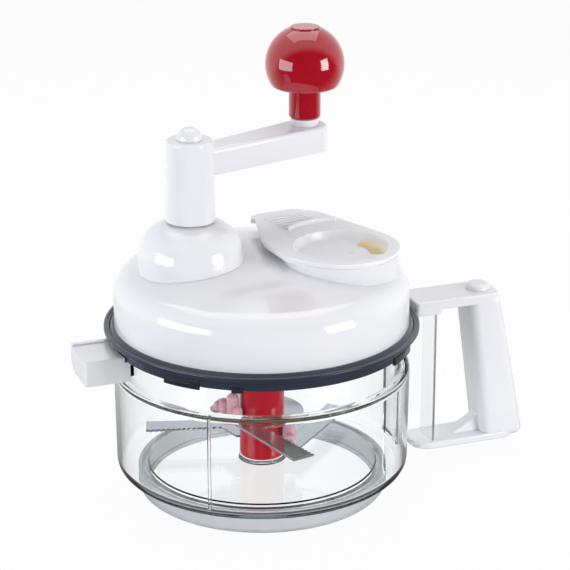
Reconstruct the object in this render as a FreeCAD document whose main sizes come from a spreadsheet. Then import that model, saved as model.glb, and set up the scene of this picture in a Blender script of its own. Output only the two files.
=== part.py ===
import FreeCAD, Part
import Sketcher
import math
import os
import re

# Crank food chopper: a clear bowl, a white geared lid with a crank, and a red post with three blades.
# Millimetres. The origin is the centre of the underside, +Z is up, and +X points to the side handle.

DRIVING_SIZES = {
    # Bowl
    "bowl_outer": 84.8, "bowl_outer_foot": 84.0, "bowl_inner": 76.0, "bowl_inner_foot": 75.2,
    "bowl_neck": 80.0, "bowl_ledge_height": 75.0, "bowl_rim_height": 97.2, "bowl_underside": 13.0,
    "bowl_floor_height": 16.4, "bowl_edge_round": 7.0, "bowl_corner_round": 6.0,
    "bowl_ledge_round": 3.0, "foot_wall_outer": 69.6, "foot_wall_inner": 66.4, "foot_lift": 1.2,
    "pin_boss_radius": 12.9, "pin_boss_height": 2.4, "pin_radius": 3.0, "pin_length": 14.0,
    "rib_angle": -133.0, "rib_width": 2.6, "rib_depth": 1.6,
    # Foot ring under the bowl
    "foot_ring_outer": 72.0, "foot_ring_height": 12.6, "foot_ring_lip": 64.8, "foot_ring_sole": 1.1,
    "foot_ring_round": 4.0,
    # Clear column that the handle clips on, and clear lug for the side grip
    "column_reach": 105.4, "column_width": 21.6, "column_wall": 2.4, "column_bottom": 13.9,
    "column_top": 96.4, "lug_reach": 92.0, "lug_width": 20.0, "lug_bottom": 81.5, "lug_top": 89.6,
    "column_relief_height": 90.0, "column_relief_radius": 86.8,
    # Bayonet between the bowl and the lid ring
    "bayonet_count": 4, "bayonet_span": 16.0, "bayonet_start": 37.0, "bowl_lug_radius": 83.3,
    "bowl_lug_bottom": 95.0, "bowl_lug_height": 2.2, "ring_lug_radius": 80.5, "ring_lug_height": 2.2,
    # Lid ring
    "ring_outer": 90.0, "ring_thickness": 2.0, "ring_height": 98.0, "ring_inner": 76.6,
    "skirt_outer": 86.0, "skirt_inner": 83.8, "skirt_bottom": 92.2, "collar_inner": 79.2,
    "collar_height": 3.2, "ring_edge_round": 0.8, "ring_lip_width": 1.7, "ring_lip_height": 0.8,
    "ring_band_foot": 87.0, "ring_band_width": 1.0, "ring_band_height": 1.8,
    # Lid shell
    "lid_outer": 84.2, "lid_wall": 2.4, "lid_shoulder_radius": 83.7, "lid_shoulder_height": 130.0,
    "lid_shoulder_round": 13.0, "crown_break_radius": 46.0, "crown_break_height": 138.6,
    "crown_round": 160.0, "crown_height": 140.0, "lid_seat_gap": 0.15,
    # Filler chute and the cup that closes it
    "chute_offset": 45.0, "chute_angle": -26.0, "chute_outer": 32.4, "chute_bore": 28.4,
    "chute_top": 144.0, "chute_bottom": 107.5, "cup_flange_radius": 33.0, "cup_seat_gap": 0.1,
    "cup_basin_round": 2.0, "tab_round": 5.0, "cup_flange_thickness": 3.0, "cup_basin_radius": 26.3,
    "cup_wall": 1.8, "cup_depth": 5.0, "cup_spigot": 28.1, "cup_spigot_depth": 8.5,
    "tab_reach": 65.0, "tab_half_width": 16.0, "tab_lip_width": 2.0, "tab_lip_depth": 2.6,
    "tab_angle": 101.0, "tab_rib_count": 5, "tab_rib_pitch": 2.8, "tab_rib_width": 1.2,
    "tab_rib_height": 0.8, "tab_rib_start": 35.0, "tab_rib_length": 22.0, "ridge_inner": 29.6,
    "ridge_outer": 31.4, "ridge_height": 3.2, "ridge_angle": 106.0, "ridge_span": 57.0,
    "slot_radius": 21.2, "slot_width": 8.6, "slot_span": 43.0, "slot_angle": 7.7,
    # Gearbox dome on the lid
    "crank_offset": 40.0, "crank_side_angle": 169.0, "dome_radius": 29.8, "dome_top_height": 162.5,
    "dome_base_height": 120.0, "dome_wall": 2.2, "dome_round": 20.0,
    # Gear plate inside the lid
    "plate_thickness": 2.4, "plate_edge_gap": 0.3, "plate_chute_gap": 1.0, "plate_boss_radius": 9.0,
    "plate_boss_height": 1.6, "screw_circle": 72.0, "screw_count": 4, "screw_start": 20.0,
    "screw_head_radius": 3.0, "screw_head_height": 1.8, "screw_radius": 1.5, "screw_length": 9.0,
    "pillar_radius": 3.6, "pillar_top": 131.0, "shaft_hole_radius": 12.0, "screw_grip": 0.05,
    # Gears
    "gear_module": 1.25, "drive_teeth": 48, "pinion_teeth": 16, "gear_thickness": 6.0,
    "gear_bottom": 105.2, "gear_backlash": 0.3, "gear_tip_gap": 0.3, "gear_web": 2.4, "gear_rim": 4.0,
    "gear_hub_radius": 8.5, "pinion_extra": 0.6,
    # Shafts and bushes
    "shaft_radius": 4.5, "shaft_top": 203.0, "shaft_foot": 102.8, "bush_wall": 1.6, "bush_length": 12.0,
    "running_gap": 0.05, "spindle_radius": 4.0, "spindle_bottom": 78.0, "spindle_head_radius": 6.4,
    "spindle_head_height": 1.6,
    # Crank
    "crank_radius": 83.6, "crank_angle": 19.4, "post_foot_radius": 14.0, "post_top_radius": 13.2,
    "post_bottom": 163.3, "post_top": 209.6, "post_edge_round": 1.4, "post_bore_depth": 30.0,
    "post_bore_wall": 2.4, "arm_bottom": 188.6, "arm_top": 203.6, "arm_root_half": 7.4,
    "arm_end_reach": 12.4, "arm_end_half": 12.6, "arm_end_round": 10.0, "arm_edge_round": 2.4,
    "arm_wall": 2.2, "arm_rib": 1.8, "cap_radius": 7.4, "cap_height": 7.0, "cap_land": 0.3,
    # Knob
    "knob_radius": 22.8, "knob_centre_height": 238.8, "knob_flat_angle": 66.0,
    "knob_base_angle": -34.5, "knob_base_round": 3.0, "knob_collar_radius": 9.2,
    "knob_collar_round": 1.0, "knob_gap": 0.5, "knob_pin_radius": 3.5, "knob_pin_top": 246.8,
    "knob_cap_radius": 8.4, "knob_cap_height": 1.0, "knob_boss_radius": 8.0, "knob_boss_height": 3.8,
    "knob_head_radius": 6.0, "knob_head_height": 2.0, "knob_plug_depth": 4.0,
    # Blade post and blades
    "blade_post_radius": 12.8, "blade_post_bottom": 19.0, "blade_post_top": 99.0,
    "blade_core_radius": 8.6, "blade_core_gap": 0.05, "blade_thickness": 1.4,
    "blade_low_height": 24.6, "blade_mid_height": 28.6, "blade_high_height": 44.0,
    "blade_low_angle": 43.0, "blade_mid_angle": 163.0, "blade_high_angle": 283.0,
    "blade_reach": 67.5, "blade_spine": 23.5, "blade_tip_edge": 10.0, "blade_root_edge": 12.0,
    "blade_root_reach": 22.0, "blade_gusset_reach": 15.0, "blade_hub_radius": 24.0,
    "tooth_count": 15, "tooth_depth": 1.5, "lobe_count": 3, "lobe_radius": 4.4, "lobe_reach": 26.0,
    "lobe_start": 181.0, "lobe_pitch": 23.5, "pin_socket_gap": 0.08,
    # Handle
    "handle_width": 24.6, "handle_inner_end": 91.4, "handle_plate_end": 93.0, "handle_top": 103.0,
    "handle_arm_underside": 97.0, "handle_bottom": 9.2, "handle_plate_top": 13.6,
    "grip_top_inner": 124.6, "grip_top_outer": 145.8, "grip_bottom_inner": 137.4,
    "grip_bottom_outer": 164.4, "grip_edge_round": 7.0, "window_top_round": 4.0,
    "window_bottom_round": 9.0, "plate_end_round": 7.0, "socket_bottom": 95.0, "socket_reach": 107.2,
    "socket_gap": 0.3, "handle_cap_radius": 7.4, "handle_cap_height": 3.6, "handle_cap_place": 135.4,
    # Side grip
    "side_reach": 108.6, "side_width": 27.0, "side_bottom": 79.6, "side_top": 95.6,
    "side_inner": 86.6, "side_bulge_radius": 6.5, "side_round": 2.2, "side_gap": 0.3,
}

UP = FreeCAD.Vector(0, 0, 1)
SIDE = FreeCAD.Vector(0, 1, 0)
FULL_TURN = 360
CLOSE = 0.001

# Sketch references: the ends of a line, the origin point and the two axes
START, END = 1, 2
ORIGIN_POINT = (-1, 1)
AXIS_ACROSS, AXIS_UP = -1, -2

# Tooth form of the gears, and the flat share of each blade tooth
PRESSURE_ANGLE = math.radians(20)
FLANK_STEPS = 3
TOOTH_LAND = 0.35

# Places that several sub-parts share
RING_TOP = "ring_height + ring_thickness"
PLATE_TOP = "ring_height + ring_thickness + plate_thickness"
CRANK_X = "crank_offset * cos(crank_side_angle)"
CRANK_Y = "crank_offset * sin(crank_side_angle)"
KNOB_X = CRANK_X + " + crank_radius * cos(crank_angle)"
KNOB_Y = CRANK_Y + " + crank_radius * sin(crank_angle)"

NAME_PATTERN = re.compile(r"[a-z]+(?:_[a-z]+)*")
SINE_PATTERN = re.compile(r"sin\(([a-z_]+)\)")

doc = FreeCAD.newDocument("CrankFoodChopper")
sheet = doc.addObject("Spreadsheet::Sheet", "Sizes")
for row, (alias, amount) in enumerate(DRIVING_SIZES.items(), start=1):
    sheet.set("A%d" % row, alias)
    sheet.set("B%d" % row, str(amount))
    sheet.setAlias("B%d" % row, alias)
doc.recompute()


def size(name):
    """A driving size, read from the sheet."""
    return float(sheet.get(name))


def amount_of(formula):
    """The number that a formula in sheet names stands for now."""
    def number(match):
        name = match.group()
        return repr(size(name)) if name in DRIVING_SIZES else name

    def sine(match):
        return repr(math.sin(math.radians(size(match.group(1)))))
    return FreeCAD.Units.Quantity(NAME_PATTERN.sub(number, SINE_PATTERN.sub(sine, formula))).Value


def linked(formula):
    """The same formula with every sheet name written as a cell of the sheet."""
    def cell(match):
        name = match.group()
        return "Sizes." + name if name in DRIVING_SIZES else name
    return NAME_PATTERN.sub(cell, formula)


def bind(item, **formulas):
    """Binds properties to formulas; a double underscore in a name stands for a dot."""
    for name, formula in formulas.items():
        item.setExpression(name.replace("__", "."), linked(formula))
    return item


def new_body(label):
    """An empty body; its label becomes the node's name."""
    body = doc.addObject("PartDesign::Body", label)
    body.Label = label
    return body


def plane_of(body, role):
    """One of the body's own origin planes or axes."""
    return next(item for item in body.Origin.OriginFeatures if item.Role == role)


def new_sketch(body, name, role="XZ_Plane"):
    """A sketch on one of the body's own origin planes."""
    sketch = body.newObject("Sketcher::SketchObject", name)
    sketch.AttachmentSupport = (plane_of(body, role), [""])
    sketch.MapMode = "FlatFace"
    return sketch


def raised_sketch(body, name, height, turn="0"):
    """A sketch parallel to the floor at a height, turned about the vertical."""
    sketch = new_sketch(body, name, "XY_Plane")
    if turn != "0":
        sketch.AttachmentOffset = FreeCAD.Placement(FreeCAD.Vector(), FreeCAD.Rotation(UP, 1.0))
        bind(sketch, AttachmentOffset__Rotation__Angle=turn)
    return bind(sketch, AttachmentOffset__Base__z=height)


def hold(sketch, rule, formula, *references):
    """A dimension of the sketch, bound to its formula."""
    index = sketch.addConstraint(Sketcher.Constraint(rule, *references, amount_of(formula)))
    sketch.setExpression("Constraints[%d]" % index, linked(formula))


def hold_point(sketch, reference, across, up):
    """Places a point of the sketch from the origin."""
    for formula, rule, axis in ((across, "DistanceX", AXIS_UP), (up, "DistanceY", AXIS_ACROSS)):
        if formula == "0":
            sketch.addConstraint(Sketcher.Constraint("PointOnObject", *reference, axis))
        else:
            hold(sketch, rule, formula, *ORIGIN_POINT, *reference)


def outline(sketch, corners):
    """A closed outline through corners (across, up) or (across, up, rounding)."""
    count = len(corners)
    points = [FreeCAD.Vector(amount_of(corner[0]), amount_of(corner[1]), 0) for corner in corners]
    rounds = [amount_of(corner[2]) if len(corner) > 2 else 0.0 for corner in corners]
    arrivals, departures, centres = [], [], []
    for index, point in enumerate(points):
        back = (points[index - 1] - point).normalize()
        ahead = (points[(index + 1) % count] - point).normalize()
        half_angle = back.getAngle(ahead) / 2
        reach = rounds[index] / math.tan(half_angle)
        arrivals.append(point + back * reach)
        departures.append(point + ahead * reach)
        middle = (back + ahead).normalize() if rounds[index] else FreeCAD.Vector()
        centres.append(point + middle * (rounds[index] / math.sin(half_angle)))
    lines = []
    for index in range(count):
        segment = Part.LineSegment(departures[index], arrivals[(index + 1) % count])
        lines.append(sketch.addGeometry(segment))
    for index, corner in enumerate(corners):
        incoming, outgoing = lines[index - 1], lines[index]
        if rounds[index]:
            ends = (arrivals[index], departures[index])
            round_corner(sketch, incoming, outgoing, ends, centres[index], corner)
        else:
            sketch.addConstraint(Sketcher.Constraint("Coincident", incoming, END, outgoing, START))
            hold_point(sketch, (outgoing, START), corner[0], corner[1])


def round_corner(sketch, incoming, outgoing, ends, centre, corner):
    """An arc tangent to two lines, with the sharp corner kept as a construction point."""
    across, up, rounding = corner
    first, last = ends[0] - centre, ends[1] - centre
    turns_left = first.cross(last).z > 0
    if not turns_left:
        first, last = last, first
    angles = [math.atan2(spoke.y, spoke.x) for spoke in (first, last)]
    circle = Part.Circle(centre, UP, amount_of(rounding))
    arc = sketch.addGeometry(Part.ArcOfCircle(circle, *angles))
    arrival_end, departure_end = (START, END) if turns_left else (END, START)
    sketch.addConstraint(Sketcher.Constraint("Tangent", incoming, END, arc, arrival_end))
    sketch.addConstraint(Sketcher.Constraint("Tangent", outgoing, START, arc, departure_end))
    hold(sketch, "Radius", rounding, arc)
    sharp = FreeCAD.Vector(amount_of(across), amount_of(up), 0)
    point = sketch.addGeometry(Part.Point(sharp), True)
    sketch.addConstraint(Sketcher.Constraint("PointOnObject", point, START, incoming))
    sketch.addConstraint(Sketcher.Constraint("PointOnObject", point, START, outgoing))
    hold_point(sketch, (point, START), across, up)


def circle_in(sketch, radius, across="0", up="0"):
    """A circle with its centre and radius dimensioned."""
    centre = FreeCAD.Vector(amount_of(across), amount_of(up), 0)
    ring = sketch.addGeometry(Part.Circle(centre, UP, amount_of(radius)))
    hold(sketch, "Radius", radius, ring)
    if across == "0" and up == "0":
        sketch.addConstraint(Sketcher.Constraint("Coincident", ring, 3, *ORIGIN_POINT))
    else:
        hold_point(sketch, (ring, 3), across, up)


def rectangle(sketch, left, right, bottom, top):
    """An upright rectangle between four formulas."""
    outline(sketch, [(left, bottom), (right, bottom), (right, top), (left, top)])


def turn_profile(body, name, corners, angle=None):
    """Turns an outline (radius, height) about the body's Z axis, fully or by an angle about its middle."""
    sketch = new_sketch(body, name + "_profile")
    outline(sketch, corners)
    turned = body.newObject("PartDesign::Revolution", name)
    turned.Profile = sketch
    turned.ReferenceAxis = (sketch, ["V_Axis"])
    turned.Angle = FULL_TURN
    if angle is not None:
        turned.Midplane = True
        bind(turned, Angle=angle)
    return turned


def raise_shape(body, sketch, name, height, symmetric=False, downward=False):
    """A pad of a sketch."""
    pad = body.newObject("PartDesign::Pad", name)
    pad.Profile = sketch
    pad.SideType = "Symmetric" if symmetric else "One side"
    pad.Reversed = downward
    return bind(pad, Length=height)


def cut_shape(body, sketch, name, depth, symmetric=False, upward=False):
    """A pocket of a sketch; without upward it cuts down, or to the rear of an upright sketch."""
    pocket = body.newObject("PartDesign::Pocket", name)
    pocket.Profile = sketch
    pocket.SideType = "Symmetric" if symmetric else "One side"
    pocket.Reversed = upward
    return bind(pocket, Length=depth)


def cut_round(body, sketch, name, angle=None):
    """A groove turned about the body's Z axis, fully or by an angle about its middle."""
    groove = body.newObject("PartDesign::Groove", name)
    groove.Profile = sketch
    groove.ReferenceAxis = (sketch, ["V_Axis"])
    groove.Angle = FULL_TURN
    if angle is not None:
        groove.Midplane = True
        bind(groove, Angle=angle)
    return groove


def repeat_round(body, feature, name, count):
    """Copies of a feature, evenly spaced about the body's Z axis."""
    pattern = body.newObject("PartDesign::PolarPattern", name)
    pattern.Originals = [feature]
    pattern.Axis = (plane_of(body, "Z_Axis"), [""])
    pattern.Angle = FULL_TURN
    body.Tip = pattern
    return bind(pattern, Occurrences=count)


def round_edges(body, name, radius, chosen):
    """A fillet on the edges of the body's tip that the test picks."""
    doc.recompute()
    base = body.Tip
    names = ["Edge%d" % number for number, edge in enumerate(base.Shape.Edges, 1) if chosen(edge)]
    fillet = body.newObject("PartDesign::Fillet", name)
    fillet.Base = (base, names)
    return bind(fillet, Radius=radius)


def place(item, across="0", height="0", along="0", turn=None):
    """Places a sub-part, turned about the vertical where an angle is given."""
    item.Placement = FreeCAD.Placement(FreeCAD.Vector(), FreeCAD.Rotation(UP, 1.0 if turn else 0.0))
    if turn:
        bind(item, Placement__Rotation__Angle=turn)
    return bind(item, Placement__Base__x=across, Placement__Base__y=along, Placement__Base__z=height)


def tube_corners(inner, outer, bottom, top):
    """The outline of a plain tube or washer."""
    return [(inner, bottom), (outer, bottom), (outer, top), (inner, top)]


def make_bowl():
    """Clear bowl: stepped wall, floor with a pin, foot wall, bayonet lugs, handle column and grip lug."""
    body = new_body("bowl")
    boss_top = "bowl_floor_height + pin_boss_height"
    pin_top = boss_top + " + pin_length"
    turn_profile(body, "bowl_wall", [
        ("0", "bowl_underside"), ("foot_wall_inner", "bowl_underside"), ("foot_wall_inner", "foot_lift"),
        ("foot_wall_outer", "foot_lift"), ("foot_wall_outer", "bowl_underside"),
        ("bowl_outer_foot", "bowl_underside", "bowl_edge_round"),
        ("bowl_outer", "bowl_ledge_height", "bowl_ledge_round"), ("bowl_neck", "bowl_ledge_height"),
        ("bowl_neck", "bowl_rim_height"), ("bowl_inner", "bowl_rim_height"),
        ("bowl_inner_foot", "bowl_floor_height", "bowl_corner_round"),
        ("pin_boss_radius", "bowl_floor_height"), ("pin_boss_radius", boss_top), ("pin_radius", boss_top),
        ("pin_radius", pin_top), ("0", pin_top)])
    column = raised_sketch(body, "column_outline", "column_bottom")
    rectangle(column, "bowl_neck - column_wall", "column_reach", "-column_width / 2", "column_width / 2")
    raise_shape(body, column, "column", "column_top - column_bottom")
    hollow = raised_sketch(body, "column_hollow_outline", "column_bottom")
    rectangle(hollow, "bowl_outer + column_wall / 2", "column_reach - column_wall",
              "-column_width / 2 + column_wall", "column_width / 2 - column_wall")
    cut_shape(body, hollow, "column_hollow", "column_top - column_bottom - column_wall", upward=True)
    relief = new_sketch(body, "column_relief_outline")
    outline(relief, tube_corners("bowl_neck", "column_relief_radius", "column_relief_height", "ring_height"))
    cut_round(body, relief, "column_relief")
    lug_corners = tube_corners("bowl_neck - column_wall", "bowl_lug_radius", "bowl_lug_bottom",
                               "bowl_lug_bottom + bowl_lug_height")
    lug = turn_profile(body, "bayonet_lug", lug_corners, "bayonet_span")
    turn_sketch(lug.Profile[0], "bayonet_start")
    repeat_round(body, lug, "bayonet_lugs", "bayonet_count")
    lug_plan = raised_sketch(body, "grip_lug_outline", "lug_bottom")
    rectangle(lug_plan, "-lug_reach", "-bowl_neck + column_wall", "-lug_width / 2", "lug_width / 2")
    raise_shape(body, lug_plan, "grip_lug", "lug_top - lug_bottom")
    rib = raised_sketch(body, "rib_outline", "bowl_floor_height", turn="rib_angle")
    rectangle(rib, "bowl_inner_foot - rib_depth", "bowl_inner + rib_depth",
              "-rib_width / 2", "rib_width / 2")
    raise_shape(body, rib, "rib", "bowl_ledge_height - bowl_floor_height")
    return body


def turn_sketch(sketch, angle):
    """Turns an upright sketch about the vertical."""
    sketch.AttachmentOffset = FreeCAD.Placement(FreeCAD.Vector(), FreeCAD.Rotation(SIDE, 1.0))
    bind(sketch, AttachmentOffset__Rotation__Angle=angle)


def make_foot_ring():
    """Soft ring round the foot wall, with a sole that the bowl stands on."""
    body = new_body("foot_ring")
    seat = "foot_wall_outer + running_gap"
    turn_profile(body, "ring_section", [
        ("foot_ring_lip", "0"), ("foot_ring_outer", "0", "foot_ring_round"),
        ("foot_ring_outer", "foot_ring_height"), (seat, "foot_ring_height"), (seat, "foot_ring_sole"),
        ("foot_ring_lip", "foot_ring_sole")])
    return body


def make_lid_ring():
    """Dark ring: flange over the bowl rim, skirt outside it and lugs that turn under the bowl's lugs."""
    body = new_body("lid_ring")
    collar_outer = "lid_outer - lid_wall - lid_seat_gap"
    collar_top = RING_TOP + " + collar_height"
    lip_top = RING_TOP + " + ring_lip_height"
    lip_inner = "ring_outer - ring_lip_width"
    band_top = RING_TOP + " + ring_band_height"
    band_inner = "lid_outer + lid_seat_gap"
    turn_profile(body, "ring_section", [
        ("ring_inner", "ring_height"), ("skirt_inner", "ring_height"), ("skirt_inner", "skirt_bottom"),
        ("skirt_outer", "skirt_bottom"), ("skirt_outer", "ring_height"),
        ("ring_outer", "ring_height", "ring_edge_round"), ("ring_outer", lip_top, "ring_edge_round"),
        (lip_inner, lip_top), (lip_inner, RING_TOP), ("ring_band_foot", RING_TOP),
        (band_inner + " + ring_band_width", band_top), (band_inner, band_top), (band_inner, RING_TOP),
        (collar_outer, RING_TOP), (collar_outer, collar_top), ("collar_inner", collar_top),
        ("collar_inner", RING_TOP), ("ring_inner", RING_TOP)])
    lug_corners = tube_corners("ring_lug_radius", "skirt_outer - ring_edge_round", "skirt_bottom",
                               "skirt_bottom + ring_lug_height")
    lug = turn_profile(body, "bayonet_lug", lug_corners, "bayonet_span")
    turn_sketch(lug.Profile[0], "bayonet_start")
    repeat_round(body, lug, "bayonet_lugs", "bayonet_count")
    return body


def lid_crown(inset):
    """The lid's outline from the rim to the axis, moved inward by an inset."""
    shoulder = ("lid_shoulder_radius" + inset, "lid_shoulder_height" + inset, "lid_shoulder_round" + inset)
    crown = ("crown_break_radius", "crown_break_height" + inset, "crown_round")
    return [("lid_outer" + inset, RING_TOP), shoulder, crown, ("0", "crown_height" + inset)]


def make_lid_shell():
    """White lid: thin dome with the filler chute and pillars for the gear plate's screws."""
    body = new_body("lid_shell")
    turn_profile(body, "dome", lid_crown("") + list(reversed(lid_crown(" - lid_wall"))))
    chute_height = "chute_top - chute_bottom"
    chute = raised_sketch(body, "chute_outline", "chute_bottom", turn="chute_angle")
    circle_in(chute, "chute_outer", "chute_offset")
    raise_shape(body, chute, "chute", chute_height)
    bore = raised_sketch(body, "chute_bore_outline", "chute_bottom", turn="chute_angle")
    circle_in(bore, "chute_bore", "chute_offset")
    cut_shape(body, bore, "chute_bore", chute_height, upward=True)
    shaft_hole = raised_sketch(body, "shaft_hole_outline", "crown_height", turn="crank_side_angle")
    circle_in(shaft_hole, "shaft_hole_radius", "crank_offset")
    cut_shape(body, shaft_hole, "shaft_hole", "crown_height - lid_shoulder_height + lid_wall")
    pillar = raised_sketch(body, "pillar_outline", PLATE_TOP, turn="screw_start")
    circle_in(pillar, "pillar_radius", "screw_circle")
    pillar_height = "pillar_top - plate_thickness - ring_height - ring_thickness"
    repeat_round(body, raise_shape(body, pillar, "pillar", pillar_height), "pillars", "screw_count")
    pillar_bore = raised_sketch(body, "pillar_bore_outline", PLATE_TOP, turn="screw_start")
    circle_in(pillar_bore, "screw_radius + screw_grip", "screw_circle")
    bore_cut = cut_shape(body, pillar_bore, "pillar_bore", "screw_length", upward=True)
    repeat_round(body, bore_cut, "pillar_bores", "screw_count")
    return body


def make_gearbox_dome():
    """Rounded housing under the crank, fitted to the lid's crown, with a seat for the crank bush."""
    blank = new_body("gearbox_dome_blank")
    seat = "shaft_radius + running_gap + bush_wall"
    inner_top = "dome_top_height - dome_wall"
    turn_profile(blank, "dome", [
        ("dome_radius", "dome_base_height"), ("dome_radius", "dome_top_height", "dome_round"),
        (seat, "dome_top_height"), (seat, "dome_top_height - bush_length"),
        (seat + " + dome_wall", "dome_top_height - bush_length"), (seat + " + dome_wall", inner_top),
        ("dome_radius - dome_wall", inner_top, "dome_round - dome_wall"),
        ("dome_radius - dome_wall", "dome_base_height")])
    place(blank, across=CRANK_X, along=CRANK_Y)
    lid_form = new_body("lid_outer_form")
    turn_profile(lid_form, "form", lid_crown("") + [("0", RING_TOP)])
    return cut_from(blank, lid_form, "gearbox_dome")


def cut_from(base, tool, label):
    """One solid with another taken out of it."""
    cut = doc.addObject("Part::Cut", label)
    cut.Base = base
    cut.Tool = tool
    cut.Label = label
    return cut


def make_gear_plate():
    """Plate that closes the gear space, with the food hole, spindle bearing and crank foot bearing."""
    body = new_body("gear_plate")
    plate = raised_sketch(body, "plate_outline", RING_TOP, turn="chute_angle")
    circle_in(plate, "collar_inner - plate_edge_gap")
    circle_in(plate, "chute_bore - plate_chute_gap", "chute_offset")
    raise_shape(body, plate, "plate", "plate_thickness")
    bearing_depth = "plate_thickness + plate_boss_height"
    bearings = (("spindle", "0", "spindle_radius + running_gap", RING_TOP),
                ("crank", "crank_offset", "shaft_radius + running_gap", "shaft_foot - running_gap"))
    for name, across, radius, bottom in bearings:
        boss = raised_sketch(body, name + "_boss_outline", PLATE_TOP, turn="crank_side_angle")
        circle_in(boss, "plate_boss_radius", across)
        raise_shape(body, boss, name + "_boss", "plate_boss_height")
        bearing = raised_sketch(body, name + "_bearing_outline", bottom, turn="crank_side_angle")
        circle_in(bearing, radius, across)
        cut_shape(body, bearing, name + "_bearing", bearing_depth, upward=True)
    hole = raised_sketch(body, "screw_hole_outline", RING_TOP, turn="screw_start")
    circle_in(hole, "screw_radius + screw_grip", "screw_circle")
    hole_cut = cut_shape(body, hole, "screw_hole", "plate_thickness", upward=True)
    repeat_round(body, hole_cut, "screw_holes", "screw_count")
    return body


def make_plate_screws():
    """Screws that hold the gear plate up to the lid's pillars."""
    body = new_body("plate_screws")
    head = raised_sketch(body, "head_outline", RING_TOP, turn="screw_start")
    circle_in(head, "screw_head_radius", "screw_circle")
    head_pad = raise_shape(body, head, "head", "screw_head_height", downward=True)
    stem = raised_sketch(body, "stem_outline", RING_TOP, turn="screw_start")
    circle_in(stem, "screw_radius", "screw_circle")
    stem_pad = raise_shape(body, stem, "stem", "screw_length")
    pattern = repeat_round(body, head_pad, "screws", "screw_count")
    pattern.Originals = [head_pad, stem_pad]
    return body


def involute_point(base_radius, roll):
    """A point of the involute of a circle after rolling by an angle in radians."""
    return FreeCAD.Vector(base_radius * (math.cos(roll) + roll * math.sin(roll)),
                          base_radius * (math.sin(roll) - roll * math.cos(roll)), 0)


def flank_points(teeth):
    """Points along one flank of a tooth that is centred on the X axis, from root to tip."""
    module = size("gear_module")
    pitch_radius = module * teeth / 2
    base_radius = pitch_radius * math.cos(PRESSURE_ANGLE)
    tip_radius = pitch_radius + module - size("gear_tip_gap")
    root_radius = pitch_radius - module - size("gear_tip_gap")
    tip_roll = math.sqrt((tip_radius / base_radius) ** 2 - 1)
    start_roll = math.sqrt(max((root_radius / base_radius) ** 2 - 1, 0))
    tooth_width = math.pi * module / 2 - size("gear_backlash") / 2
    pitch_point = involute_point(base_radius, math.tan(PRESSURE_ANGLE))
    half_tooth = tooth_width / (2 * pitch_radius)
    turn = FreeCAD.Rotation(UP, -math.degrees(half_tooth + math.atan2(pitch_point.y, pitch_point.x)))
    rolls = [start_roll + (tip_roll - start_roll) * step / FLANK_STEPS for step in range(FLANK_STEPS + 1)]
    flank = [turn.multVec(involute_point(base_radius, roll)) for roll in rolls]
    if root_radius < base_radius:
        flank.insert(0, flank[0] * (root_radius / base_radius))
    return flank


def gear_blank(label, teeth, thickness, bottom):
    """A disc with straight involute teeth; the first tooth points along +X."""
    lower = flank_points(teeth)
    upper = [FreeCAD.Vector(point.x, -point.y, 0) for point in reversed(lower)]
    rim = []
    for tooth in range(teeth):
        turn = FreeCAD.Rotation(UP, FULL_TURN * tooth / teeth)
        rim += [turn.multVec(point) for point in lower + upper]
    wire = Part.makePolygon(rim + rim[:1])
    shape = Part.Face(wire).extrude(UP * thickness)
    feature = doc.addObject("Part::Feature", label)
    feature.Shape = shape
    feature.Placement = FreeCAD.Placement(UP * bottom, FreeCAD.Rotation())
    return feature


def cylinder(label, radius, height, bottom, across="0", along="0"):
    """A plain round solid."""
    solid = doc.addObject("Part::Cylinder", label)
    solid.Label = label
    bind(solid, Radius=radius, Height=height)
    return place(solid, across=across, height=bottom, along=along)


def make_drive_gear():
    """Large gear pressed on the crank shaft, thinned between its rim and hub."""
    teeth = int(size("drive_teeth"))
    blank = gear_blank("drive_gear_teeth", teeth, size("gear_thickness"), size("gear_bottom"))
    recess = new_body("drive_gear_recess")
    rim_inner = "gear_module * drive_teeth / 2 - gear_module - gear_rim"
    turn_profile(recess, "recess", tube_corners("gear_hub_radius", rim_inner, "gear_bottom + gear_web",
                                                "gear_bottom + gear_thickness + gear_web"))
    thinned = cut_from(blank, recess, "drive_gear_thinned")
    bore = cylinder("drive_gear_bore", "shaft_radius", "gear_thickness", "gear_bottom")
    gear = cut_from(thinned, bore, "drive_gear")
    return place(gear, across=CRANK_X, along=CRANK_Y, turn="crank_side_angle")


def make_pinion():
    """Small gear on the blade spindle."""
    teeth = int(size("pinion_teeth"))
    height = size("gear_thickness") + 2 * size("pinion_extra")
    blank = gear_blank("pinion_teeth_form", teeth, height, size("gear_bottom") - size("pinion_extra"))
    bore = cylinder("pinion_bore", "spindle_radius", "gear_thickness + 2 * pinion_extra",
                    "gear_bottom - pinion_extra")
    pinion = cut_from(blank, bore, "pinion")
    return place(pinion, turn="crank_side_angle + %d / (2 * pinion_teeth)" % FULL_TURN)


def make_spindle():
    """Steel spindle from the pinion down into the blade post, with a head over the pinion."""
    body = new_body("spindle")
    head_bottom = "gear_bottom + gear_thickness + pinion_extra"
    head_top = head_bottom + " + spindle_head_height"
    turn_profile(body, "pin", [
        ("0", "spindle_bottom"), ("spindle_radius", "spindle_bottom"), ("spindle_radius", head_bottom),
        ("spindle_head_radius", head_bottom), ("spindle_head_radius", head_top), ("0", head_top)])
    return body


def make_crank_bush():
    """Bush that the crank shaft turns in, in the top of the gearbox dome."""
    body = new_body("crank_bush")
    turn_profile(body, "tube", tube_corners("shaft_radius + running_gap",
                                            "shaft_radius + running_gap + bush_wall",
                                            "dome_top_height - bush_length", "dome_top_height"))
    return place(body, across=CRANK_X, along=CRANK_Y)


def make_crank_shaft():
    """Steel shaft from the gear plate up into the crank's post."""
    return cylinder("crank_shaft", "shaft_radius", "shaft_top - shaft_foot", "shaft_foot",
                    CRANK_X, CRANK_Y)


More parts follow.
